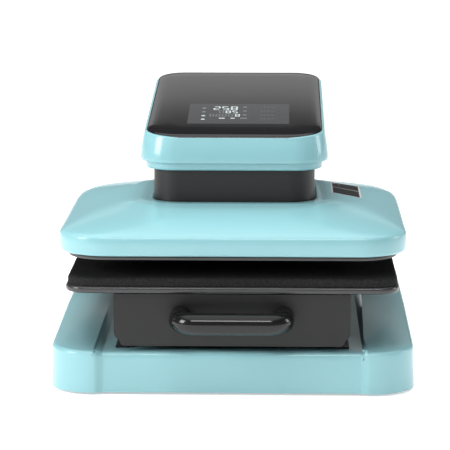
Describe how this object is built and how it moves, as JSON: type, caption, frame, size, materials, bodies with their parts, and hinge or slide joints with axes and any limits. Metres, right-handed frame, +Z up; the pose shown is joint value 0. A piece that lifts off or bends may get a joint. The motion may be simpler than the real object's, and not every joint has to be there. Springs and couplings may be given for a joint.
{
  "type": "heat press",
  "caption": "Benchtop heat press: C-shaped body, square padded lower platen on a pull-out drawer, and a motor-driven heated upper platen under a domed cover.",
  "frame": {"origin": "middle of the machine's footprint, at the bottom of its rubber feet", "axes": "+X across the press to its right as seen by the person at the handle, +Y from the handle to the back, +Z up"},
  "size_m": [0.42, 0.529, 0.3235],
  "materials": {
    "mint_shell": "glossy moulded shell, pale blue-green",
    "black_satin": "satin black paint on sheet steel",
    "black_gloss": "glossy black enamel on round bar",
    "black_glass": "opaque black printed back of the toughened glass",
    "platen_black": "glossy dark enamel on aluminium",
    "platen_coated": "dark non-stick coating on cast aluminium",
    "pad_foam": "black silicone foam pad with a woven cover",
    "black_plastic": "black moulded plastic",
    "black_steel": "black powder coat",
    "frame_steel": "dark grey powder coat",
    "zinc_sheet": "zinc-plated rolled sheet",
    "zinc_screws": "zinc-plated",
    "black_screws": "black oxide",
    "machined_steel": "turned and ground",
    "motor_steel": "drawn steel can",
    "bronze": "oiled bronze",
    "circuit_board": "green solder mask",
    "insulation": "pressed mineral board",
    "rubber_feet": "black rubber"
  },
  "bodies": {
    "frame": {"base_shell": "mint_shell", "base_pan": "black_steel", "feet": "rubber_feet", "base_frame": "frame_steel", "pan_screws": "zinc_screws", "rail_brackets": "zinc_sheet", "rail_screws": "zinc_screws", "slide_outer_left": "zinc_sheet", "slide_outer_right": "zinc_sheet", "drawer_sensor": "black_plastic", "column_posts": "frame_steel", "column_shell": "mint_shell", "column_back_cover": "black_steel", "back_cover_screws": "black_screws", "mains_inlet": "black_plastic", "switch_housing": "black_plastic", "power_board": "circuit_board", "arm_frame": "frame_steel", "arm_bolts": "zinc_screws", "head_lower_shell": "mint_shell", "head_shell": "mint_shell", "head_screws": "black_screws", "glass_panel": "black_glass", "display_module": "black_plastic", "control_board": "circuit_board", "neck_sleeve": "black_satin", "neck_screws": "zinc_screws", "gear_motor": "motor_steel", "screw_bearing": "machined_steel", "guide_bushings": "bronze"},
    "slide_mid": {"slide_mid_left": "zinc_sheet", "slide_mid_right": "zinc_sheet"},
    "drawer": {"drawer_tray": "black_steel", "drawer_front": "black_satin", "handle": "black_gloss", "handle_screws": "zinc_screws", "platen_spacers": "rubber_feet", "platen_screws": "zinc_screws", "lower_platen": "platen_black", "press_pad": "pad_foam", "slide_inner_left": "zinc_sheet", "slide_inner_right": "zinc_sheet"},
    "press_head": {"press_cover": "mint_shell", "cover_screws": "zinc_screws", "heater_skirt": "black_plastic", "heating_platen": "platen_coated", "heating_element": "machined_steel", "insulation_board": "insulation", "pressure_plate": "frame_steel", "guide_rods": "machined_steel", "screw_nut": "bronze", "thermostat": "motor_steel", "heater_terminals": "insulation"},
    "screw": {"lead_screw": "machined_steel", "screw_gear": "machined_steel", "gear_nut": "zinc_screws"},
    "pinion": {"motor_shaft": "machined_steel", "motor_pinion": "bronze"},
    "rocker": {"power_rocker": "black_plastic"}
  },
  "joints": [
    {"name": "drawer_slide", "type": "slide", "parent": "frame", "child": "drawer", "axis": [0, -1, 0], "range_m": [0, 0.3]},
    {"name": "mid_slide", "type": "slide", "parent": "frame", "child": "slide_mid", "axis": [0, -1, 0], "range_m": [0, 0.15]},
    {"name": "press_slide", "type": "slide", "parent": "frame", "child": "press_head", "axis": [0, 0, -1], "range_m": [0, 0.02]},
    {"name": "screw_spin", "type": "hinge", "parent": "frame", "child": "screw", "pos_m": [0, -0.0305, 0.25], "axis": [0, 0, 1], "range_deg": [0, 1440.1]},
    {"name": "pinion_spin", "type": "hinge", "parent": "frame", "child": "pinion", "pos_m": [0, 0.007, 0.25], "axis": [0, 0, 1], "range_deg": [-2880.2, 0]},
    {"name": "rocker_tilt", "type": "hinge", "parent": "frame", "child": "rocker", "pos_m": [0.034, 0.2535, 0.079], "axis": [1, 0, 0], "range_deg": [0, 10]}
  ],
  "couplings": [
    {"joint": "mid_slide", "follows": "drawer_slide", "ratio": 0.5},
    {"joint": "screw_spin", "follows": "press_slide", "rad_per_m": 1256.6},
    {"joint": "pinion_spin", "follows": "press_slide", "rad_per_m": -2513.3}
  ]
}
